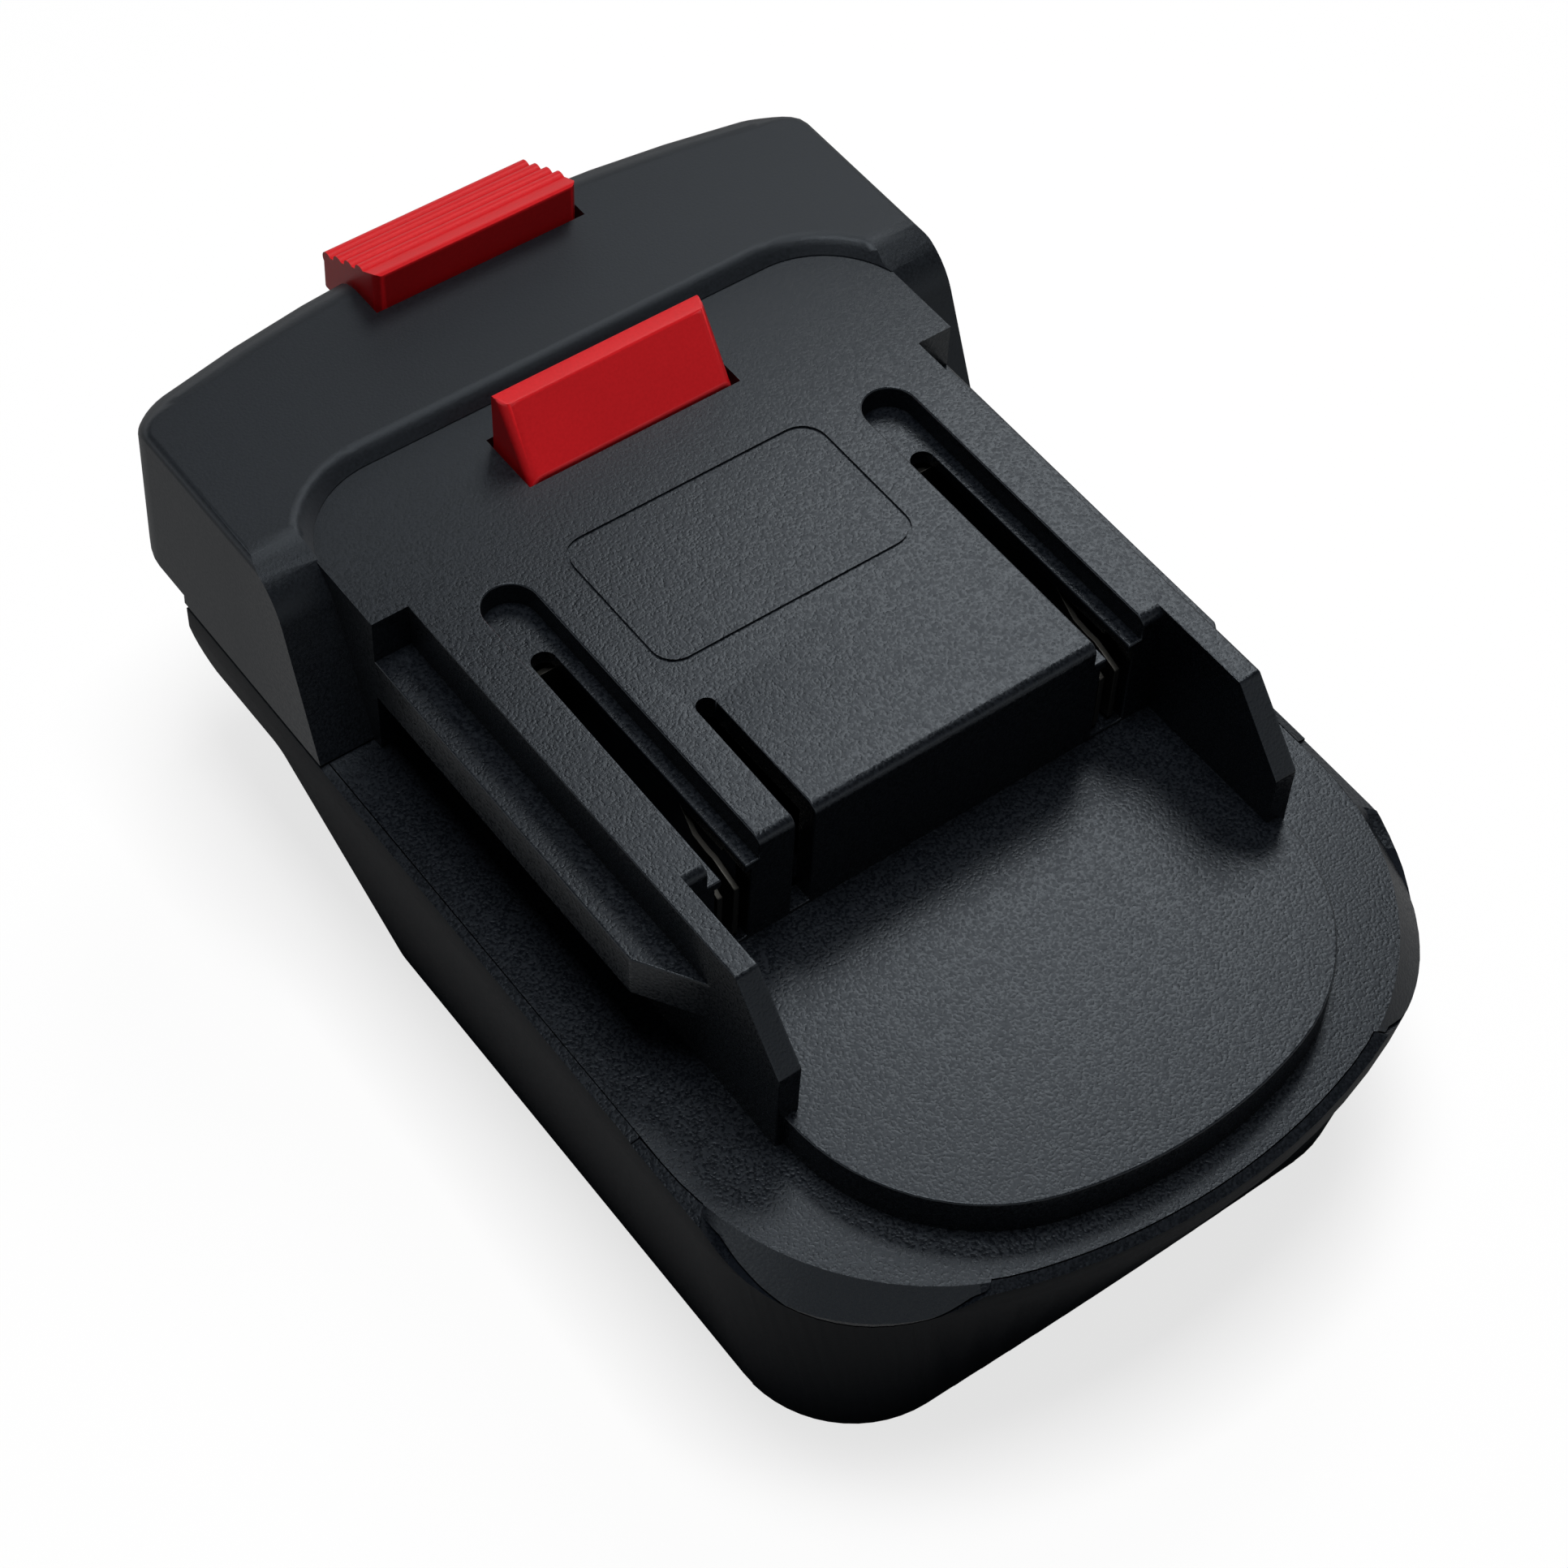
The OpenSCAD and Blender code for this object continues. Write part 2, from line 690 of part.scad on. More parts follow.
module upper_housing() {
    color(black)
        difference() {
            union() {
                difference() {
                    union() {
                        shoulder();
                        tongue_form(0, plate_z + 0.5, tongue_z);
                        deck_core();
                        block(-flange_w / 2, flange_w / 2, stop_y, deck_y - over, plate_z + 0.5, deck_z);
                        both_sides() {
                            rail_flange();
                            horn();
                        }
                        difference() {
                            hump();
                            deck_pocket();
                        }
                    }
                    upper_hollow();
                }
                upper_inside();
            }
            upper_cuts();
        }
}

// Lower shell: leaning walls, flat bottom rim and a slanted step up to the shallow rear
module lower_outside() {
    intersection() {
        tub(0, low_y);
        across(rounded([[nose_y - over, seam_z, 0], [nose_y - over, 0, 0], [step_y, 0, 1.5],
            [step_y + step_l, socket_h, 2], [low_y, socket_h, low_rear_r], [low_y, seam_z, 0]]), body_w + 2 * over);
    }
}

module socket_space() {
    intersection() {
        tub(side_t, low_y + over);
        block(-half_w, half_w, nose_y, step_y + step_l + over, -over, socket_h);
    }
}

module wiring_space() {
    intersection() {
        tub(side_t, low_y - side_t);
        block(-half_w, half_w, nose_y, low_y, floor_z, plate_z + over);
    }
}

// Rail that carries the battery, tapered where the battery enters
module socket_rail() {
    in_x = foot_w / 2 - side_t - socket_lip;
    out_x = foot_w / 2 - side_t / 2;
    y0 = block_end_y;
    y1 = step_y - 1.5;
    linear_extrude(socket_lip_h)
        polygon([[in_x, y0], [out_x, y0], [out_x, y1], [in_x + 2.4, y1], [in_x, y1 - 5]]);
}

module lower_inside() {
    both_sides() {
        post(front_screw_x, front_screw_y, floor_z - over, pad_z, pad_r);
        post(rear_screw_x, rear_screw_y, floor_z - over, pad_z, pad_r);
        post(block_screw_x, block_mid_y, floor_z - over, pad_z, 2.4);
        post(spring_x, spring_y, floor_z - over, floor_z + post_h, post_r);
        socket_rail();
    }
    block(-hook_w / 2 - hook_wall, hook_w / 2 + hook_wall, hook_y - hook_wall, hook_y + hook_d + hook_wall,
        floor_z - over, socket_h + hook_h + hook_wall);
    block(-hump_in + tray_gap, hump_in - tray_gap, low_y - tray_t, low_y, floor_z - over, overhang_z + tray_t);
    intersection() {
        hump_plan(wall + tray_gap, overhang_z, overhang_z + tray_t);
        block(-hump_in + tray_gap, hump_in - tray_gap, low_y - tray_t, rear_in - tray_gap, overhang_z, overhang_z + tray_t);
    }
}

module lower_cuts() {
    both_sides() {
        post(front_screw_x, front_screw_y, -over, web_z, head_r + screw_room);
        post(front_screw_x, front_screw_y, 0, pad_z + over, screw_d / 2 + screw_room);
        post(rear_screw_x, rear_screw_y, 0, web_z, head_r + screw_room);
        post(rear_screw_x, rear_screw_y, 0, pad_z + over, screw_d / 2 + screw_room);
        post(block_screw_x, block_mid_y, socket_h - over, pad_z - 2 * screw_room, small_screw_d / 2 + screw_grip);
        block(blade_x - blade_t / 2 - 0.4, blade_x + blade_t / 2 + 0.4, block_mid_y - 2.2, block_mid_y + 2.2,
            socket_h - over, floor_z + over);
    }
    block(signal_blade_x - blade_t / 2 - 0.3, signal_blade_x + blade_t / 2 + 0.3, block_mid_y - 2.2, block_mid_y + 2.2,
        socket_h - over, floor_z + over);
    block(-hook_w / 2, hook_w / 2, hook_y, hook_y + hook_d, socket_h - over, socket_h + hook_h);
    scoop_ring(skirt_t + seam_gap, seam_gap);
    nose_slope(seam_gap);
}

module lower_housing() {
    color(black)
        difference() {
            union() {
                difference() {
                    lower_outside();
                    socket_space();
                    wiring_space();
                    plate_plan(-seam_gap, plate_z, seam_z + over, low_y - lip_t);
                }
                lower_inside();
            }
            lower_cuts();
        }
}

// Slanted wedge that the tool's catch rides over, with soft edges beside its slope
module wedge() {
    hw = latch_w / 2;
    front = wedge_y - wedge_d;
    top_z = deck_z + wedge_h;
    deep = deck_z - latch_z + over;
    tilt = atan((wedge_d - wedge_top) / wedge_h);
    intersection() {
        across(rounded([[front, latch_z + over, 0], [front, deck_z, 0], [wedge_y - wedge_top, top_z, 0.4],
            [wedge_y, top_z, 0.4], [wedge_y, latch_z + over, 0]], 3), latch_w);
        translate([0, front, deck_z])
            rotate([-tilt, 0, 0])
                translate([0, 0, -2 * deep])
                    linear_extrude(2 * deep + 2 * wedge_h)
                        polygon(rounded([[-hw, 0, wedge_soft_r], [hw, 0, wedge_soft_r], [hw, 3 * wedge_d, 0],
                            [-hw, 3 * wedge_d, 0]], 5));
    }
}

// Button with ridges across its falling face
module button() {
    hw = latch_w / 2;
    brow_z = deck_z + button_h;
    tail_top = brow_z - button_fall;
    in_y = hump_y - wall - 1;
    pitch = (button_d - ridge_set + 0.1) / ridges;
    slope = button_fall / button_d;
    intersection() {
        union() {
            across(rounded([[button_front_y, latch_z + over, 0], [button_front_y, brow_z, 0.4],
                [button_y - 0.2, tail_top, 0.6], [button_y, button_z, 0.4], [in_y, button_z, 0],
                [in_y, latch_z + over, 0]], 3), latch_w);
            for (i = [0 : ridges - 1])
                translate([0, button_front_y + ridge_set + pitch * (i + 0.5),
                    brow_z - slope * (ridge_set + pitch * (i + 0.5)) - ridge_sink])
                    rotate([0, 90, 0])
                        cylinder(h = latch_w, r = ridge_r, center = true);
        }
        translate([0, 0, latch_z])
            linear_extrude(2 * wedge_h + latch_plate_t)
                polygon(rounded([[-hw, button_front_y, button_soft_r], [hw, button_front_y, button_soft_r],
                    [hw, button_y + over, 0], [-hw, button_y + over, 0]], 5));
    }
}

// Red moulding: wedge and button on one plate, hollow from below, with stubs for the springs
module release_latch() {
    hw = latch_w / 2;
    in_hw = hw - latch_shell;
    wedge_front_y = wedge_y - wedge_d;
    color(red)
        difference() {
            union() {
                block(-latch_plate_w / 2, latch_plate_w / 2, wedge_front_y - over, button_front_y - 4, latch_z,
                    latch_z + latch_plate_t);
                block(-hw, hw, button_front_y - 5, button_front_y + 1.5, latch_z, latch_z + latch_plate_t);
                wedge();
                button();
                both_sides()
                    post(spring_x, spring_y, latch_z - stub_h, latch_z + over, post_r);
            }
            block(-in_hw, in_hw, wedge_front_y + latch_shell, wedge_y - 1.6, latch_z - over, deck_z - over);
            block(-in_hw, in_hw, button_front_y + latch_shell, hump_y - wall - 2.4, latch_z - over, deck_z - 0.5);
            block(-4, 4, wedge_y + 3, button_front_y - 3, latch_z - over, latch_z + latch_plate_t + over);
        }
}

function coil(turns, r, h, steps) =
    [for (i = [0 : turns * steps]) [r * cos(360 * i / steps), r * sin(360 * i / steps), h * i / (turns * steps)]];

// Compression spring between the lower shell and the latch
module latch_spring(side) {
    steps = 8;
    rise = spring_h - spring_wire;
    sides = 6;
    ps = coil(spring_turns, coil_r, rise, steps);
    k = len(ps);
    rings = [for (i = [0 : k - 1])
        let (out = unit([ps[i].x, ps[i].y, 0]))
        for (j = [0 : sides - 1])
            ps[i] + spring_wire / 2 * (out * cos(360 * j / sides) + [0, 0, 1] * sin(360 * j / sides))];
    walls = [for (i = [0 : k - 2], j = [0 : sides - 1])
        let (a = i * sides + j, b = i * sides + (j + 1) % sides)
        each [[a, b, a + sides], [b, b + sides, a + sides]]];
    caps = [for (j = [1 : sides - 2]) each [[0, j + 1, j], [(k - 1) * sides, (k - 1) * sides + j, (k - 1) * sides + j + 1]]];
    echo(least_gap_between_turns = rise / spring_turns - spring_wire);
    color(steel)
        translate([side * spring_x, spring_y, spring_z + spring_wire / 2])
            polyhedron(rings, concat(walls, caps));
}

// Hairpin clip of bent strip: two leaves that pinch the tool's blade and dip at their mouth, and a solder tail
module spring_clip(x, mouth_y, rear_y, throat, spread) {
    top_z = clip_z + clip_h;
    inner = [[throat + clip_flare, mouth_y], [throat, mouth_y + 4], [throat + clip_flare, mouth_y + 6],
        [spread, mouth_y + 12], [spread, rear_y]];
    outer = [for (i = [len(inner) - 1 : -1 : 0]) inner[i] + [strip_t, 0]];
    color(tin)
        translate([x, 0, 0])
            difference() {
                union() {
                    translate([0, 0, clip_z])
                        linear_extrude(clip_h) {
                            polygon(concat(inner, outer));
                            mirror([1, 0])
                                polygon(concat(inner, outer));
                            translate([-spread - strip_t, rear_y - strip_t])
                                square([2 * (spread + strip_t), strip_t]);
                        }
                    block(-tail_w / 2, tail_w / 2, rear_y - strip_t, rear_y, tail_z, clip_z + over);
                }
                across([[mouth_y - over, top_z - clip_dip], [mouth_y, top_z - clip_dip], [mouth_y + clip_dip_l, top_z],
                    [mouth_y + clip_dip_l, top_z + over], [mouth_y - over, top_z + over]], slot_w);
            }
}

module negative_clip() {
    spring_clip(-slot_x, front_y + clip_set, power_tail_y, clip_throat, clip_spread);
}

module positive_clip() {
    spring_clip(slot_x, front_y + clip_set, power_tail_y, clip_throat, clip_spread);
}

module signal_clip() {
    spring_clip(-signal_x, front_y + wall + clip_set / 2, signal_tail_y, signal_throat, signal_spread);
}

module tail_slot(x, rear_y) {
    block(x - tail_w / 2 - tail_slack, x + tail_w / 2 + tail_slack, rear_y - strip_t - tail_slack, rear_y + tail_slack,
        holder_z - over, clip_z + over);
}

// Insulating plate that carries the clips, with a wall behind each power clip
module contact_holder() {
    hw = rail_w / 2 - rail_wall - holder_gap;
    wall_hw = clip_spread + strip_t + holder_gap;
    color(black)
        difference() {
            union() {
                block(-hw, hw, holder_front_y, holder_end_y, holder_z, clip_z);
                both_sides()
                    block(slot_x - wall_hw, slot_x + wall_hw, power_tail_y + tail_slack, holder_end_y, clip_z - over, clip_z + clip_h - 1);
            }
            for (x = [-slot_x, slot_x])
                tail_slot(x, power_tail_y);
            tail_slot(-signal_x, signal_tail_y);
            both_sides()
                post(boss_x, boss_y, holder_z - over, clip_z + over, small_screw_d / 2 + 0.25);
        }
}

// Cross-head screw standing on its head, with its shank up
module screw(head, head_t, d, shank_l) {
    difference() {
        union() {
            cylinder(h = head_t, r = head);
            cylinder(h = head_t + shank_l, r = d / 2);
        }
        for (a = [0, 90])
            rotate([0, 0, a])
                block(-head * 0.6, head * 0.6, -head * 0.14, head * 0.14, -over, head_t * 0.55);
    }
}

module holder_screws() {
    color(steel)
        both_sides()
            translate([boss_x, boss_y, holder_z - small_head_h])
                screw(small_head_r, small_head_h, small_screw_d, holder_t + holder_bite);
}

module housing_screws() {
    color(steel)
        both_sides()
            for (at = [[front_screw_x, front_screw_y], [rear_screw_x, rear_screw_y]])
                translate([at.x, at.y, web_z - head_h])
                    screw(head_r, head_h, screw_d, screw_tip_z - web_z);
}

module block_screws() {
    seat_z = block_z + block_screw_seat;
    color(steel)
        both_sides()
            translate([block_screw_x, block_mid_y, seat_z - small_head_h])
                screw(small_head_r, small_head_h, small_screw_d, pad_z - 0.8 - seat_z);
}

// Side view of one blade, with its solder tail up through the floor
function blade_side() =
    let (tip_y = block_end_y + blade_out)
    [[block_mid_y - blade_tail_w / 2, blade_z], [tip_y - 1.5, blade_z], [tip_y, blade_z + 1.2],
        [tip_y, blade_z + blade_h - 1.2], [tip_y - 1.5, blade_z + blade_h], [block_mid_y + blade_tail_w / 2, blade_z + blade_h],
        [block_mid_y + blade_tail_w / 2, blade_tail_z], [block_mid_y - blade_tail_w / 2, blade_tail_z]];

module blade(x) {
    color(tin)
        translate([x, 0, 0])
            across(blade_side(), blade_t);
}

module negative_blade() {
    blade(-blade_x);
}

module positive_blade() {
    blade(blade_x);
}

module signal_blade() {
    blade(signal_blade_x);
}

module terminal_block() {
    hw = block_w / 2;
    front = block_end_y - block_l;
    seat_z = block_z + block_screw_seat;
    slot_hw = blade_t / 2 + blade_gap;
    color(black)
        difference() {
            across(rounded([[front, socket_h, 0], [front, block_z, 1.5], [block_end_y, block_z, 0.6],
                [block_end_y, socket_h, 0]], 4), block_w);
            for (x = [-blade_x, blade_x, signal_blade_x])
                block(x - slot_hw, x + slot_hw, block_mid_y - blade_tail_w / 2 - blade_gap, block_end_y + over,
                    blade_z - blade_gap, socket_h + over);
            both_sides() {
                post(block_screw_x, block_mid_y, block_z - over, seat_z, small_head_r + 0.2);
                post(block_screw_x, block_mid_y, block_z, socket_h + over, small_screw_d / 2 + 0.2);
                block(3, blade_x - 3, front + 2, block_end_y - 2, block_z - over, socket_h - 2);
            }
        }
}

module power_lead() {
    tube(lead_line([blade_x, lead_from_y, lead_from_z],
        [slot_x, power_tail_y - strip_t - solder_gap, lead_to_z], 18), lead_d);
}

module negative_lead() {
    color("#1b1b1b")
        mirror([1, 0, 0])
            power_lead();
}

module positive_lead() {
    color(red)
        power_lead();
}

module signal_lead() {
    color(ivory)
        tube(lead_line([signal_blade_x, lead_from_y, lead_from_z],
            [-signal_x, signal_tail_y - strip_t - solder_gap, lead_to_z], 14), signal_lead_d);
}

module id_resistor() {
    color(ivory) {
        translate(resistor_at)
            rotate([90, 0, 0])
                cylinder(h = resistor_l, d = resistor_d, center = true);
        tube(route(resistor_in, 3), wire_d, 6);
        tube(route(resistor_out, 3), wire_d, 6);
    }
}

upper_housing();
lower_housing();
release_latch();
latch_spring(-1);  // left_latch_spring
latch_spring(1);  // right_latch_spring
negative_clip();
positive_clip();
signal_clip();
contact_holder();
holder_screws();
terminal_block();
negative_blade();
positive_blade();
signal_blade();
block_screws();
negative_lead();
positive_lead();
signal_lead();
id_resistor();
housing_screws();
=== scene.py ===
# %% [markdown]
# A slide-on battery adapter for cordless tools: a grained black housing with tool rails and contact
# slots on top, a darker shell below that takes another battery, and a red sprung latch at the rear.
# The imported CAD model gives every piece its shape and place. This lesson softens its edges, gives
# each piece the finish that it has on the real object, and lights it like a catalogue photograph.

# %% Load the frame and keep the CAD box
import math

import bmesh
import bpy
from mathutils import Matrix, Vector


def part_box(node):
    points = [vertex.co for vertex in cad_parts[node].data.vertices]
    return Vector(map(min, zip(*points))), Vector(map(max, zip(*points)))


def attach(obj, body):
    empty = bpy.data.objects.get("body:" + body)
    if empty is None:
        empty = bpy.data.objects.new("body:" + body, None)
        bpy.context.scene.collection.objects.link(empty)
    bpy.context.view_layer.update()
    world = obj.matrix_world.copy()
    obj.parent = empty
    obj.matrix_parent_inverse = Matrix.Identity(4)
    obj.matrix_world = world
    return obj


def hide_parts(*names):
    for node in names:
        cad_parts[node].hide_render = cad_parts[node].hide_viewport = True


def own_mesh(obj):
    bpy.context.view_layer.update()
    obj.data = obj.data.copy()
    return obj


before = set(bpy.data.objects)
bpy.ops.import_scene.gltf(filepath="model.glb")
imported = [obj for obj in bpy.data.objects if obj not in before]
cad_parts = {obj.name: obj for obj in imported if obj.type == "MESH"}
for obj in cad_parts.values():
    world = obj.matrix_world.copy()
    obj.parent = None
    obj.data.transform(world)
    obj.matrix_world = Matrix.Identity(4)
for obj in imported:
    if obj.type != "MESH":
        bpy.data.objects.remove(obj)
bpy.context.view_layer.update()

MM = 0.001
scene = bpy.context.scene
print("pieces of the CAD model:", len(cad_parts))

# %% [markdown]
# The camera stands high in front of the nose and to its left, about 350 mm away. Its angles and
# focal length were fitted to the corners of the deck, so nothing has to be shifted in the frame.

# %% Camera at the photograph's angle
SENSOR = 36.0
PHOTO_WIDTH = 1932
FOCAL_PIXELS = 4466.4
CAMERA_PLACE = Vector((-130.67, -159.59, 284.19)) * MM
CAMERA_TURN, CAMERA_DOWN, CAMERA_ROLL = -39.13, 52.04, 3.227

camera_data = bpy.data.cameras.new("photo_camera")
camera_data.sensor_width = SENSOR
camera_data.lens = FOCAL_PIXELS * SENSOR / PHOTO_WIDTH
camera_data.clip_start = 0.01
camera = bpy.data.objects.new("photo_camera", camera_data)
scene.collection.objects.link(camera)
turn = Matrix.Rotation(math.radians(CAMERA_TURN), 4, "Z")
tilt = Matrix.Rotation(math.radians(90 - CAMERA_DOWN), 4, "X")
roll = Matrix.Rotation(math.radians(CAMERA_ROLL), 4, "Z")
camera.matrix_world = Matrix.Translation(CAMERA_PLACE) @ turn @ tilt @ roll
scene.camera = camera
print("lens in mm:", round(camera_data.lens, 2))

# %% [markdown]
# Materials are node trees. One small function adds a node, sets its values and links its inputs,
# and another turns the colours, which are written as on a screen, into the linear values that the
# shaders work with.

# %% Helpers for colours and nodes
def colour(hex_code):
    """An sRGB hex colour as linear red, green, blue and alpha."""
    parts = [int(hex_code[i:i + 2], 16) / 255 for i in (1, 3, 5)]
    return [p / 12.92 if p <= 0.04045 else ((p + 0.055) / 1.055) ** 2.4 for p in parts] + [1.0]


def put(tree, kind, settings=None, links=None):
    """Adds one node. Settings are inputs or properties, links give an input its source."""
    node = tree.nodes.new(kind)
    for name, value in (settings or {}).items():
        if isinstance(name, int) or name in node.inputs:
            node.inputs[name].default_value = value
        else:
            setattr(node, name, value)
    for name, source in (links or {}).items():
        tree.links.new(source, node.inputs[name])
    return node


def new_material(name):
    """An empty material, its node tree and its output node."""
    material = bpy.data.materials.new(name)
    material.use_nodes = True
    tree = material.node_tree
    tree.nodes.clear()
    return material, tree, put(tree, "ShaderNodeOutputMaterial")


print("mid grey in linear light:", [round(c, 3) for c in colour("#808080")[:3]])

# %% [markdown]
# Black plastic scatters almost nothing: what the eye sees of it is a mirror image of the studio,
# blurred by the grain. So a soft panel stands behind the object on the right, where the tops mirror
# it towards the camera. The shoulder behind the left rail mirrors the rail instead, and stays nearly
# black. Two soft boxes hang overhead and light the red latch from above, so that its walls fall into
# shade. The stronger one is left out of mirror images, or its sheen would lift the dark parts.

# %% Lamps
scene.view_settings.view_transform = "Standard"


def soft_lamp(name, place, aim, width, height, watts, mirrored=True):
    """A soft box at a place in metres, turned towards the aim.

    One that isn't mirrored lights colours and leaves no highlight.
    """
    data = bpy.data.lights.new(name, "AREA")
    data.shape = "RECTANGLE"
    data.size = width
    data.size_y = height
    data.energy = watts
    lamp = bpy.data.objects.new(name, data)
    lamp.visible_glossy = mirrored
    scene.collection.objects.link(lamp)
    lamp.location = place
    lamp.rotation_euler = (Vector(aim) - lamp.location).to_track_quat("-Z", "Y").to_euler()
    print(name, "in W:", watts)


soft_lamp("overhead_box", (0.0, 0.02, 0.90), (0, 0, 0.04), 0.36, 0.36, 5.2, mirrored=False)
soft_lamp("overhead_core", (0.0, 0.02, 0.88), (0, 0, 0.04), 0.36, 0.36, 2.0)
soft_lamp("rear_panel", (0.35, 0.31, 0.61), (0, -0.02, 0.03), 0.22, 0.30, 0.71)

# %% [markdown]
# The world is the rest of the studio. The camera sees it white, also through something clear. Gloss
# mirrors pale walls low down, weaker on the camera's side, under a dark ceiling. As light on colours
# it gives only a little fill, so that the lamps shape the object.

# %% World
FILL = 0.05
REAR_WALL, FRONT_WALL, CEILING = 1.0, 0.45, 0.07
FRONT_FROM, REAR_FROM = -0.4, 0.1
WALL_TO, CEILING_FROM = 0.20, 0.60


def split_rays(tree):
    """Outputs that are 1 for glossy rays, and 1 for what the camera sees, straight or through."""
    rays = put(tree, "ShaderNodeLightPath")
    seen = put(tree, "ShaderNodeMath", {"operation": "MAXIMUM"},
               {0: rays.outputs["Is Camera Ray"], 1: rays.outputs["Is Transmission Ray"]})
    return rays.outputs["Is Glossy Ray"], seen.outputs[0]


world = bpy.data.worlds.new("studio")
scene.world = world
world.use_nodes = True
sky = world.node_tree
sky.nodes.clear()
is_glossy, is_seen = split_rays(sky)
direction = put(sky, "ShaderNodeSeparateXYZ", None,
                {"Vector": put(sky, "ShaderNodeTexCoord").outputs["Generated"]})
walls = put(sky, "ShaderNodeMapRange",
            {"From Min": FRONT_FROM, "From Max": REAR_FROM,
             "To Min": FRONT_WALL, "To Max": REAR_WALL},
            {"Value": direction.outputs["Y"]})
room = put(sky, "ShaderNodeMapRange",
           {"From Min": WALL_TO, "From Max": CEILING_FROM, "To Max": CEILING},
           {"Value": direction.outputs["Z"], "To Min": walls.outputs["Result"]})
unseen = put(sky, "ShaderNodeMapRange", {"To Min": FILL},
             {"Value": is_glossy, "To Max": room.outputs["Result"]})
level = put(sky, "ShaderNodeMapRange", {"To Max": 1.0},
            {"Value": is_seen, "To Min": unseen.outputs["Result"]})
ground = put(sky, "ShaderNodeBackground", {"Color": colour("#ffffff")},
             {"Strength": level.outputs["Result"]})
put(sky, "ShaderNodeOutputWorld", None, {"Surface": ground.outputs[0]})
print("fill:", FILL)

# %% [markdown]
# The floor is white paper. The camera sees it white, with part of that as glow, so that only a faint
# shadow of the object is left on it. To everything else it is a mid grey, as an object on an open
# stand has dim surroundings.

# %% Floor
GLOW_SHARE = 0.75
FLOOR_REACH = 4.0

paper, tree, out = new_material("white_paper_floor")
is_glossy, is_seen = split_rays(tree)
dim = put(tree, "ShaderNodeMixRGB", {"Color1": colour("#808080"), "Color2": colour("#949494")},
          {"Fac": is_glossy})
tone = put(tree, "ShaderNodeMixRGB", {"Color2": colour("#ffffff")},
           {"Fac": is_seen, "Color1": dim.outputs[0]})
matt = put(tree, "ShaderNodeBsdfDiffuse", None, {"Color": tone.outputs[0]})
glow = put(tree, "ShaderNodeEmission", {"Color": colour("#ffffff"), "Strength": 1.0})
share = put(tree, "ShaderNodeMath", {"operation": "MULTIPLY", 1: GLOW_SHARE}, {0: is_seen})
lifted = put(tree, "ShaderNodeMixShader", None,
             {0: share.outputs[0], 1: matt.outputs[0], 2: glow.outputs[0]})
tree.links.new(lifted.outputs[0], out.inputs["Surface"])

floor_mesh = bpy.data.meshes.new("floor")
floor_corners = [(x * FLOOR_REACH, y * FLOOR_REACH, 0)
                 for x, y in ((-1, -1), (1, -1), (1, 1), (-1, 1))]
floor_mesh.from_pydata(floor_corners, [], [(0, 1, 2, 3)])
floor = bpy.data.objects.new("floor", floor_mesh)
floor.data.materials.append(paper)
scene.collection.objects.link(floor)
print("floor corners in m:", floor_corners)

# %% [markdown]
# CAD edges are perfectly sharp, and no moulding is. Each piece is a copy of its CAD solid with its
# long convex edges rounded by a few tenths of a millimetre, which catches a thin line of light. The
# rounded strips are marked on the mesh, so that a material can make them a little smoother, like
# edges worn by hands and the tool, and lighter in colour, partly as wear and partly as a painted
# highlight. Steep edges that are left are shaded as sharp ones, and weighted normals keep the flat
# faces flat.

# %% A CAD solid with softened edges
SAME_POINT, SLIVER = 0.002 * MM, 0.006 * MM
FLAT_ANGLE = math.radians(0.4)
SOFT_ANGLE, SOFT_LENGTH = math.radians(28), 0.25 * MM
ALONGSIDE, ROOM = 0.8, 2.2
ROUND_SHADING, PLAIN_SHADING = math.radians(52), math.radians(24)


def place_piece(name, mesh, node, body, material):
    """Puts a mesh in the scene as the piece that stands for a CAD node."""
    piece = bpy.data.objects.new(name, mesh)
    scene.collection.objects.link(piece)
    mesh.materials.clear()
    mesh.materials.append(material)
    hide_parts(node)
    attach(piece, body)
    return piece


def is_soft_edge(edge, radius):
    """True for a long convex edge with room beside it for the rounding."""
    if len(edge.link_faces) != 2 or not edge.is_convex:
        return False
    if edge.calc_face_angle() < SOFT_ANGLE or edge.calc_length() < SOFT_LENGTH:
        return False
    along = (edge.verts[1].co - edge.verts[0].co).normalized()
    for vert in edge.verts:
        for other in vert.link_edges:
            span = other.verts[1].co - other.verts[0].co
            if abs(span.normalized().dot(along)) < ALONGSIDE and span.length < ROOM * radius:
                return False
    return True


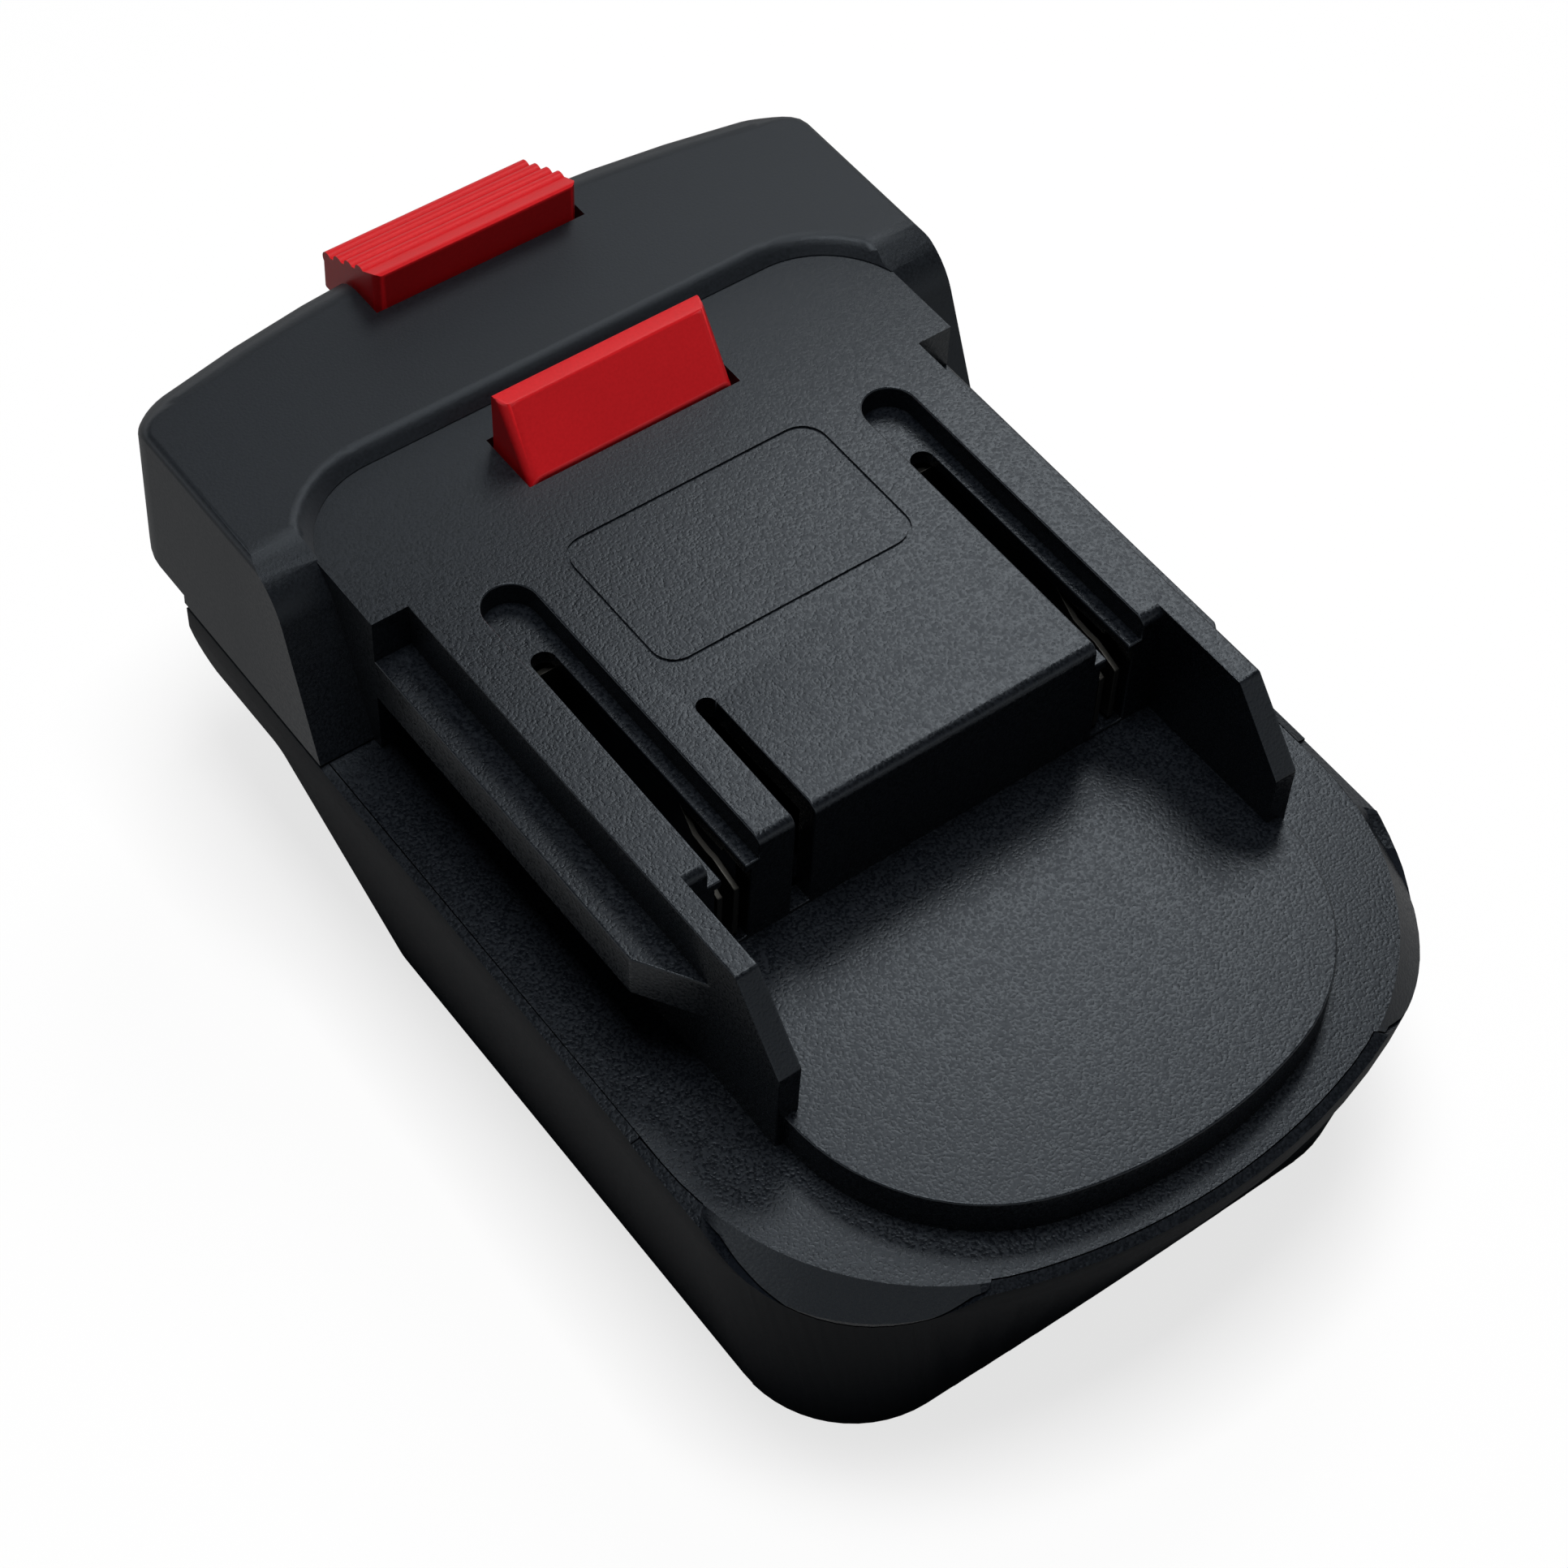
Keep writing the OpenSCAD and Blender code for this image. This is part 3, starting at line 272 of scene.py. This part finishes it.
def softened(node, radius, crisp=None, reshape=None):
    """The mesh of a CAD node with rounded edges, marked in a face attribute called rubbed.

    Crisp says at which places in mm an edge stays sharp, and reshape moves points beforehand.
    """
    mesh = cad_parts[node].data.copy()
    solid = bmesh.new()
    solid.from_mesh(mesh)
    bmesh.ops.remove_doubles(solid, verts=solid.verts, dist=SAME_POINT)
    bmesh.ops.dissolve_limit(solid, angle_limit=FLAT_ANGLE, verts=solid.verts, edges=solid.edges)
    if reshape:
        reshape(solid)
    edges = [e for e in solid.edges if is_soft_edge(e, radius)]
    if crisp:
        edges = [e for e in edges if not crisp((e.verts[0].co + e.verts[1].co) / 2 / MM)]
    mark = solid.faces.layers.float.new("rubbed_and_highlit")
    made = bmesh.ops.bevel(solid, geom=edges, offset=radius, segments=2, profile=0.5,
                           affect="EDGES", clamp_overlap=False)
    for face in made["faces"]:
        face[mark] = 1.0
    bmesh.ops.remove_doubles(solid, verts=solid.verts, dist=SLIVER)
    bmesh.ops.dissolve_degenerate(solid, edges=solid.edges, dist=SLIVER)
    for face in solid.faces:
        face.smooth = True
    solid.normal_update()
    for edge in solid.edges:
        is_round = any(face[mark] for face in edge.link_faces)
        limit = ROUND_SHADING if is_round else PLAIN_SHADING
        edge.smooth = edge.calc_face_angle(math.pi) < limit
    solid.to_mesh(mesh)
    solid.free()
    print(node, "rounded edges:", len(edges), "faces:", len(mesh.polygons))
    return mesh


def even_shading(piece):
    """Keeps flat faces flat where they meet a rounded edge."""
    modifier = piece.modifiers.new("even_shading", "WEIGHTED_NORMAL")
    modifier.keep_sharp = True
    modifier.weight = 80


# %% [markdown]
# Both housings and the latch are injection-moulded ABS, so one function makes their finishes. A
# spark-eroded mould leaves a fine grain of pits a few tenths of a millimetre across. It is drawn as
# bump, as a slight speckle in the colour and as spots that are duller or shinier, with a slow drift
# of tone over centimetres as moulded black has. The edges worn by rubbing are a little smoother, and
# lighter in colour, partly as wear and partly as a painted highlight. The grain is clear on the deck
# and nearly gone on the hump, so it fades from the slots' ends to the rear, where a duller sheen
# takes its place. ABS has an IOR of about 1.54.

# %% Moulded plastic
ABS_IOR = 1.54
NOISE_LOW, NOISE_HIGH = 0.3, 0.7
DRIFT_WIDTH, RUB_WIDTH = 22, 4
FADE_FROM, FADE_TO = 12 * MM, 34 * MM
RUB_POLISH = 0.1


def moulded_plastic(name, base, speck, edge, grain, depth, rough, gloss, tint,
                    pit_dull=0.02, rear_depth=1.0, rear_rough=None):
    """Grained moulded plastic: colours, grain width and depth in mm, and sheen.

    The last two say how much of the grain is left at the rear, and how rough it is there.
    """
    material, tree, out = new_material(name)
    where = put(tree, "ShaderNodeTexCoord").outputs["Object"]
    spread = {"From Min": NOISE_LOW, "From Max": NOISE_HIGH}
    pits = put(tree, "ShaderNodeTexNoise",
               {"Scale": 1 / (grain * MM), "Detail": 1.0, "Roughness": 0.5}, {"Vector": where})
    drift = put(tree, "ShaderNodeTexNoise", {"Scale": 1 / (DRIFT_WIDTH * MM), "Detail": 3.0},
                {"Vector": where})
    share = put(tree, "ShaderNodeMapRange", spread, {"Value": pits.outputs["Fac"]})
    grey = put(tree, "ShaderNodeMixRGB", {"Color1": colour(base), "Color2": colour(speck)},
               {"Fac": share.outputs["Result"]})
    slow = put(tree, "ShaderNodeMapRange", {**spread, "To Min": 0.9, "To Max": 1.08},
               {"Value": drift.outputs["Fac"]})
    tinted = put(tree, "ShaderNodeMixRGB", {"blend_type": "MULTIPLY", "Fac": 1.0},
                 {"Color1": grey.outputs[0], "Color2": slow.outputs["Result"]})
    rubbed_and_highlit = put(tree, "ShaderNodeAttribute", {"attribute_name": "rubbed_and_highlit"})
    patches = put(tree, "ShaderNodeTexNoise", {"Scale": 1 / (RUB_WIDTH * MM), "Detail": 2.0},
                  {"Vector": where})
    wear_and_highlight = put(tree, "ShaderNodeMath", {"operation": "MULTIPLY"},
               {0: rubbed_and_highlit.outputs["Fac"], 1: patches.outputs["Fac"]})
    # Lighter colour on the rounded edge strips: partly wear, partly a painted highlight
    skin = put(tree, "ShaderNodeMixRGB", {"Color2": colour(edge)},
               {"Fac": wear_and_highlight.outputs[0], "Color1": tinted.outputs[0]})
    along = put(tree, "ShaderNodeSeparateXYZ", None, {"Vector": where})
    rear = put(tree, "ShaderNodeMapRange", {"From Min": FADE_FROM, "From Max": FADE_TO},
               {"Value": along.outputs["Y"]})
    sheen = put(tree, "ShaderNodeMapRange", {"To Min": rough, "To Max": rear_rough or rough},
                {"Value": rear.outputs["Result"]})
    dull = put(tree, "ShaderNodeMapRange", {"To Max": rough - RUB_POLISH},
               {"Value": wear_and_highlight.outputs[0], "To Min": sheen.outputs["Result"]})
    grit = put(tree, "ShaderNodeMapRange", {**spread, "To Min": -pit_dull, "To Max": pit_dull},
               {"Value": pits.outputs["Fac"]})
    kept = put(tree, "ShaderNodeMapRange", {"To Min": 1.0, "To Max": rear_depth},
               {"Value": rear.outputs["Result"]})
    faded = put(tree, "ShaderNodeMath", {"operation": "MULTIPLY"},
                {0: grit.outputs["Result"], 1: kept.outputs["Result"]})
    uneven = put(tree, "ShaderNodeMath", {"operation": "ADD"},
                 {0: dull.outputs["Result"], 1: faded.outputs[0]})
    relief = put(tree, "ShaderNodeBump", {"Distance": depth * MM},
                 {"Strength": kept.outputs["Result"], "Height": pits.outputs["Fac"]})
    plastic = put(tree, "ShaderNodeBsdfPrincipled",
                  {"IOR": ABS_IOR, "Specular IOR Level": gloss, "Specular Tint": colour(tint)},
                  {"Base Color": skin.outputs[0], "Roughness": uneven.outputs[0],
                   "Normal": relief.outputs["Normal"]})
    tree.links.new(plastic.outputs[0], out.inputs["Surface"])
    return material


# The third colour of each plastic is its edge colour: partly wear, partly a painted highlight
# Spark-eroded ABS: nearly black, with a grain that breaks the lamp's image into fine sparkles
grained_black = moulded_plastic(
    "spark_grained_black_abs", "#05070b", "#0e1116", "#16191d", grain=0.28, depth=0.030,
    rough=0.29, gloss=0.50, tint="#e6f1fb", pit_dull=0.09, rear_depth=0.3, rear_rough=0.44)
# Finely blasted mould: almost black, the grain only breaks up a very weak sheen
satin_black = moulded_plastic(
    "satin_moulded_black_abs", "#0c0f14", "#12151a", "#1a1d21", grain=0.22, depth=0.006,
    rough=0.44, gloss=0.045, tint="#e6f1fb")
# Polished mould: a clear red with a soft highlight
moulded_red = moulded_plastic(
    "polished_moulded_red_abs", "#c1131a", "#c8181f", "#cf3a3f", grain=0.30, depth=0.004,
    rough=0.38, gloss=0.28, tint="#ffffff")
print("plastics:", grained_black.name, satin_black.name, moulded_red.name)

# %% [markdown]
# The clips and blades are stamped from copper strip and tin-plated. Tin is a soft grey metal: the
# rolling direction leaves fine streaks, and handling dulls it in patches. Here its colours are
# darkened as painted shade, for the dark slots that the strip lies in.

# %% Plated metals
STREAK_STRETCH = 30
SPOT_WIDTH = 2.5
STREAK_DEPTH = 0.004


def plated_metal(name, base, dull_tone, streak, rough):
    """Plated metal with fine streaks; the streak's width is in mm."""
    material, tree, out = new_material(name)
    where = put(tree, "ShaderNodeTexCoord").outputs["Object"]
    across, along = 1 / (streak * MM), 1 / (STREAK_STRETCH * streak * MM)
    stretch = put(tree, "ShaderNodeMapping", {"Scale": (across, along, across)}, {"Vector": where})
    lines = put(tree, "ShaderNodeTexNoise", {"Scale": 1.0, "Detail": 2.0},
                {"Vector": stretch.outputs[0]})
    spots = put(tree, "ShaderNodeTexNoise", {"Scale": 1 / (SPOT_WIDTH * MM), "Detail": 4.0},
                {"Vector": where})
    tone = put(tree, "ShaderNodeMixRGB", {"Color1": colour(base), "Color2": colour(dull_tone)},
               {"Fac": spots.outputs["Fac"]})
    haze = put(tree, "ShaderNodeMapRange", {"To Min": rough - 0.08, "To Max": rough + 0.12},
               {"Value": spots.outputs["Fac"]})
    relief = put(tree, "ShaderNodeBump", {"Strength": 0.6, "Distance": STREAK_DEPTH * MM},
                 {"Height": lines.outputs["Fac"]})
    metal = put(tree, "ShaderNodeBsdfPrincipled", {"Metallic": 1.0},
                {"Base Color": tone.outputs[0], "Roughness": haze.outputs["Result"],
                 "Normal": relief.outputs["Normal"]})
    tree.links.new(metal.outputs[0], out.inputs["Surface"])
    return material


# Tinned copper strip, dulled by handling and darkened as painted shade of the slots: mid grey, soft
# shine
shade_darkened_tin = plated_metal("tinned_copper_painted_shade", "#5f5e5a", "#403f3c", 0.08, 0.42)
# Zinc-plated steel: cooler and brighter, with a clear passivated sheen
zinc_steel = plated_metal("zinc_plated_steel", "#b9bec4", "#8d9298", 0.06, 0.30)
print("metals:", shade_darkened_tin.name, zinc_steel.name)

# %% [markdown]
# The leads are soft PVC over stranded copper, and the resistor has a coat of beige lacquer. Both are
# inside the housing. PVC from an extruder is faintly wavy, with a waxy, slightly rough skin.

# %% Wire insulation and lacquer
PVC_IOR = 1.53


def soft_skin(name, base, shade, wave, depth, rough):
    """A waxy coloured skin with faint waves; wave width and depth are in mm."""
    material, tree, out = new_material(name)
    where = put(tree, "ShaderNodeTexCoord").outputs["Object"]
    waves = put(tree, "ShaderNodeTexNoise", {"Scale": 1 / (wave * MM), "Detail": 3.0},
                {"Vector": where})
    tone = put(tree, "ShaderNodeMixRGB", {"Color1": colour(base), "Color2": colour(shade)},
               {"Fac": waves.outputs["Fac"]})
    relief = put(tree, "ShaderNodeBump", {"Strength": 0.5, "Distance": depth * MM},
                 {"Height": waves.outputs["Fac"]})
    skin = put(tree, "ShaderNodeBsdfPrincipled",
               {"Roughness": rough, "IOR": PVC_IOR, "Specular IOR Level": 0.35},
               {"Base Color": tone.outputs[0], "Normal": relief.outputs["Normal"]})
    tree.links.new(skin.outputs[0], out.inputs["Surface"])
    return material


# Extruded PVC: a flat, waxy colour. Dipped lacquer: smoother, with a small highlight
black_pvc = soft_skin("extruded_black_pvc", "#1d1f20", "#2a2c2e", 0.8, 0.02, 0.5)
red_pvc = soft_skin("extruded_red_pvc", "#a8161c", "#c0242a", 0.8, 0.02, 0.5)
white_pvc = soft_skin("extruded_white_pvc", "#d9d6cb", "#e6e3d8", 0.8, 0.02, 0.5)
beige_lacquer = soft_skin("dipped_beige_lacquer", "#c2ab7d", "#cdb78b", 0.5, 0.015, 0.35)
print("skins:", black_pvc.name, red_pvc.name, white_pvc.name, beige_lacquer.name)

# %% [markdown]
# The upper housing is the piece that the tool slides onto: T-shaped rails, horns either side of a
# low tongue, slots for the tool's blades and a hump at the rear. Its form comes from CAD, with two
# small changes. The first is where the deck meets the hump: the real edge is a slanted face with a
# tight upper edge, and the CAD solid has a roll there. Points that stand above the slant are lowered
# onto it, by how far they lie outside the outline of the deck's pocket.

# %% Upper housing: edge of the deck's pocket
STOP_STEP, SHOULDER = 19, 28.6
POCKET_HALF, POCKET_REAR, POCKET_CORNER = 32.1 * MM, 35.4 * MM, 10 * MM
EDGE_FOOT, EDGE_TOP, EDGE_SLOPE = 45.3 * MM, 46.5 * MM, 0.85
EDGE_START, EDGE_WIDTH = 0.01 * MM, 2.25 * MM


def upper_crisp(at):
    """The hump is rounded already, and the seam's edges meet in a thin line."""
    return at.y > STOP_STEP or at.z < SHOULDER


def slant_pocket_edge(solid):
    """Turns the roll between deck and hump into a slanted face with a tight upper edge."""
    moved = 0
    for vert in solid.verts:
        x, y, z = abs(vert.co.x), vert.co.y, vert.co.z
        side, back = x - (POCKET_HALF - POCKET_CORNER), y - (POCKET_REAR - POCKET_CORNER)
        if side > 0 and back > 0:
            outside = math.hypot(side, back) - POCKET_CORNER
        else:
            outside = max(x - POCKET_HALF, y - POCKET_REAR)
        slanted = EDGE_FOOT + EDGE_SLOPE * outside
        if EDGE_START < outside < EDGE_WIDTH and slanted < z < EDGE_TOP:
            vert.co.z = slanted
            moved += 1
    print("points of the pocket edge moved:", moved)


# %% [markdown]
# The second change is at the nose. A leaning skirt hooks over the lower shell at both corners, and
# its ends run out in a thin wedge that would leave a notch in the outline. They are carried out
# sideways until they lie flush with the shell.

# %% Upper housing: ends of the nose skirt
SEAM, CREASE, NOSE, NOSE_DROP = 28.2 * MM, -27.6 * MM, -60 * MM, 0.5 * MM
SKIRT_LEAN, SKIRT_REACH, SKIRT_FOOT = 0.7, 0.88 * MM, 23 * MM
SKIRT_FLATTEST, SKIRT_STEEPEST = 0.75, 0.4
END_STEEPNESS, END_DEPTH = 3, 0.12 * MM


def spread_skirt(solid):
    """Carries the ends of the leaning skirt out to the shell, where they would leave a notch."""
    ways = {}
    for face in solid.faces:
        at = face.calc_center_median()
        leans = SKIRT_STEEPEST < face.normal.z < SKIRT_FLATTEST
        if leans and SKIRT_FOOT < at.z < SEAM and at.y < CREASE:
            for vert in face.verts:
                ways.setdefault(vert, []).append(Vector((face.normal.x, face.normal.y, 0)))
    for vert, normals in ways.items():
        top = SEAM - NOSE_DROP * (CREASE - vert.co.y) / (CREASE - NOSE)
        start, reach = SKIRT_LEAN * (SEAM - top), SKIRT_LEAN * (SEAM - vert.co.z)
        wanted = min(SKIRT_REACH, start + END_STEEPNESS * (top - vert.co.z))
        if wanted > reach and top - vert.co.z > END_DEPTH:
            vert.co += (wanted - reach) * sum(normals, Vector()).normalized()
    print("points of the skirt looked at:", len(ways))


def reshape_upper(solid):
    """Both changes to the upper housing."""
    slant_pocket_edge(solid)
    spread_skirt(solid)


# %% [markdown]
# The lower shell has a thin lip round the shoulder plate. CAD leaves a gap of a quarter millimetre
# there so that the solids stay apart, and on the real object the halves are screwed tight. So the
# lip's inner wall moves towards the plate until only a hairline is left, and its outer edge falls
# off.

# %% Lower housing: lip and seam
LIP_START = 21
LIP_FOOT, LIP_TOP = 26 * MM, 27 * MM
LIP_IN, LIP_FALL = 0.16 * MM, 0.22 * MM
SHELL_MIDDLE = -10 * MM
UPRIGHT, LEVEL = 0.1, 0.95


def lower_crisp(at):
    """The lip round the shoulder stays as thin as the mould makes it."""
    return at.z > LIP_START


def close_seam(solid):
    """Brings the lip up to the shoulder plate and lets it fall off outside."""
    steps = {}
    rim = set()
    for face in solid.faces:
        at = face.calc_center_median()
        if at.z < LIP_FOOT:
            continue
        outward = Vector((at.x, at.y - SHELL_MIDDLE, 0))
        if abs(face.normal.z) < UPRIGHT and face.normal.dot(outward) < 0:
            for vert in face.verts:
                steps.setdefault(vert, []).append(face.normal.copy())
        if face.normal.z > LEVEL and at.z > LIP_TOP:
            rim.update(face.verts)
    for vert, normals in steps.items():
        vert.co += LIP_IN * sum(normals, Vector()).normalized()
    for vert in rim:
        if vert not in steps:
            vert.co.z -= LIP_FALL
        elif vert.co.y < CREASE:
            vert.co.z += LIP_IN
    print("points of the seam moved:", len(steps))


# %% [markdown]
# The four black mouldings are placed together. The lower shell is satin, but the mould's grain goes
# on over its lip, so that lip and shoulder look like one surface.

# %% Black mouldings
LIP_FACES_UP = 0.6

for node, material, radius, crisp, reshape in [
    ("upper_housing", grained_black, 0.18 * MM, upper_crisp, reshape_upper),
    ("lower_housing", satin_black, 0.28 * MM, lower_crisp, close_seam),
    ("contact_holder", satin_black, 0.2 * MM, None, None),
    ("terminal_block", satin_black, 0.25 * MM, None, None),
]:
    mesh = softened(node, radius, crisp, reshape)
    piece = place_piece(node + "_moulding", mesh, node, "housing", material)
    even_shading(piece)
    if node == "lower_housing":
        mesh.materials.append(grained_black)
        for face in mesh.polygons:
            on_lip = face.normal.z > LIP_FACES_UP and face.center.z > LIP_FOOT
            face.material_index = int(on_lip)

# %% [markdown]
# The latch is one red moulding: the wedge that holds the tool and the ridged button share a plate,
# and the whole slides down when the button is pressed.

# %% Red latch
latch = place_piece("release_latch_moulding", softened("release_latch", 0.25 * MM),
                    "release_latch", "latch", moulded_red)
even_shading(latch)

# %% [markdown]
# Stamped contacts have edges that the die rounds on one side and breaks on the other. A small
# rounding all over is enough at this size. The screws are cross-head with plain shanks.

# %% Contacts and screws
for node in ("negative_clip", "positive_clip", "signal_clip",
             "negative_blade", "positive_blade", "signal_blade"):
    mesh = softened(node, 0.1 * MM)
    even_shading(place_piece(node + "_strip", mesh, node, "housing", shade_darkened_tin))
for node in ("holder_screws", "block_screws", "housing_screws"):
    mesh = softened(node, 0.12 * MM)
    even_shading(place_piece(node + "_set", mesh, node, "housing", zinc_steel))

# %% [markdown]
# Springs and leads are round wire along a line, so they are swept tubes. A ring of points is set
# square to the line at each of its points, and neighbouring rings are joined by quads. The ring's
# first direction is carried along from point to point, so that the tube doesn't twist.

# %% Swept tubes
def swept_tube(name, line, radius, sides):
    """A closed round tube along a line of points."""
    solid = bmesh.new()
    rings = []
    side = Vector((1, 0, 0.01))
    turns = [2 * math.pi * j / sides for j in range(sides)]
    for i, point in enumerate(line):
        ahead = (line[min(i + 1, len(line) - 1)] - line[max(i - 1, 0)]).normalized()
        side = (side - ahead * side.dot(ahead)).normalized()
        lift = ahead.cross(side)
        rings.append([solid.verts.new(point + radius * (side * math.cos(t) + lift * math.sin(t)))
                      for t in turns])
    for a, b in zip(rings, rings[1:]):
        for j in range(sides):
            k = (j + 1) % sides
            solid.faces.new((a[j], a[k], b[k], b[j]))
    solid.faces.new(reversed(rings[0]))
    solid.faces.new(rings[-1])
    for face in solid.faces:
        face.smooth = len(face.verts) == 4
    mesh = bpy.data.meshes.new(name)
    solid.to_mesh(mesh)
    solid.free()
    return mesh


# %% [markdown]
# Each latch spring stands on a post of the lower shell and pushes the latch up. A real compression
# spring is closed at each end, so the pitch is small there and even between. As the latch goes down
# the spring shortens.

# %% Latch springs
WIRE, WIRE_SIDES = 0.6 * MM, 10
TURNS, STEPS = 6, 28
CLOSED_TURNS, CLOSED_PITCH = 0.5, 0.35


def closed_rise(share):
    """Height share of a spring at a share of its length, slow at both ends."""
    closed = CLOSED_TURNS / TURNS
    if share < closed:
        return CLOSED_PITCH * share
    if share > 1 - closed:
        return 1 - CLOSED_PITCH * (1 - share)
    low = CLOSED_PITCH * closed
    return low + (1 - 2 * low) * (share - closed) / (1 - 2 * closed)


for side_name in ("left", "right"):
    node = side_name + "_latch_spring"
    low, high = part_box(node)
    middle = (low + high) / 2
    coil_radius = (high.x - low.x) / 2 - WIRE / 2
    rise = high.z - low.z - WIRE
    line = []
    for i in range(TURNS * STEPS + 1):
        angle = 2 * math.pi * i / STEPS
        height = low.z + WIRE / 2 + rise * closed_rise(i / (TURNS * STEPS))
        line.append(Vector((middle.x + coil_radius * math.cos(angle),
                            middle.y + coil_radius * math.sin(angle), height)))
    mesh = swept_tube(node + "_wire", line, WIRE / 2, WIRE_SIDES)
    spring = place_piece(node + "_wire", mesh, node, "housing", zinc_steel)
    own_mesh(spring)

# %% [markdown]
# Three leads join the blades of the socket to the clips under the deck. They lie along the floor and
# rise in their second half to the solder tails, so their line eases sideways and then up.

# %% Leads
LEAD_STEPS, LEAD_SIDES = 36, 14


def ease(share):
    """Slow start and slow end."""
    share = max(0.0, share)
    return share * share * (3 - 2 * share)


def lead_line(start, end):
    """Points of a lead that swings sideways on its way and rises in its second half."""
    line = []
    for i in range(LEAD_STEPS + 1):
        share = i / LEAD_STEPS
        line.append(Vector((start.x + (end.x - start.x) * ease(share),
                            start.y + (end.y - start.y) * share,
                            start.z + (end.z - start.z) * ease(2 * share - 1))))
    return line


for node, from_blade, to_clip, diameter, slot, material in [
    ("negative_lead", "negative_blade", "negative_clip", 2.4, "black_insulation", black_pvc),
    ("positive_lead", "positive_blade", "positive_clip", 2.4, "red_insulation", red_pvc),
    ("signal_lead", "signal_blade", "signal_clip", 1.4, "white_insulation", white_pvc),
]:
    low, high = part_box(node)
    start_x = sum(c.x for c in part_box(from_blade)) / 2
    end_x = sum(c.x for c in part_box(to_clip)) / 2
    radius = diameter / 2 * MM
    start = Vector((start_x, low.y, low.z + radius))
    end = Vector((end_x, high.y, high.z - radius))
    mesh = swept_tube(node + "_wire", lead_line(start, end), radius, LEAD_SIDES)
    place_piece(node + "_wire", mesh, node, "housing", material)
    print(node, "length in y, mm:", round((high.y - low.y) / MM, 1))

# %% [markdown]
# The small resistor tells the tool which battery it has. Its CAD form is already a body with bent
# wires, so it keeps that, with one coat of lacquer over all.

# %% Resistor
resistor = place_piece("id_resistor_body", softened("id_resistor", 0.1 * MM),
                       "id_resistor", "housing", beige_lacquer)
even_shading(resistor)
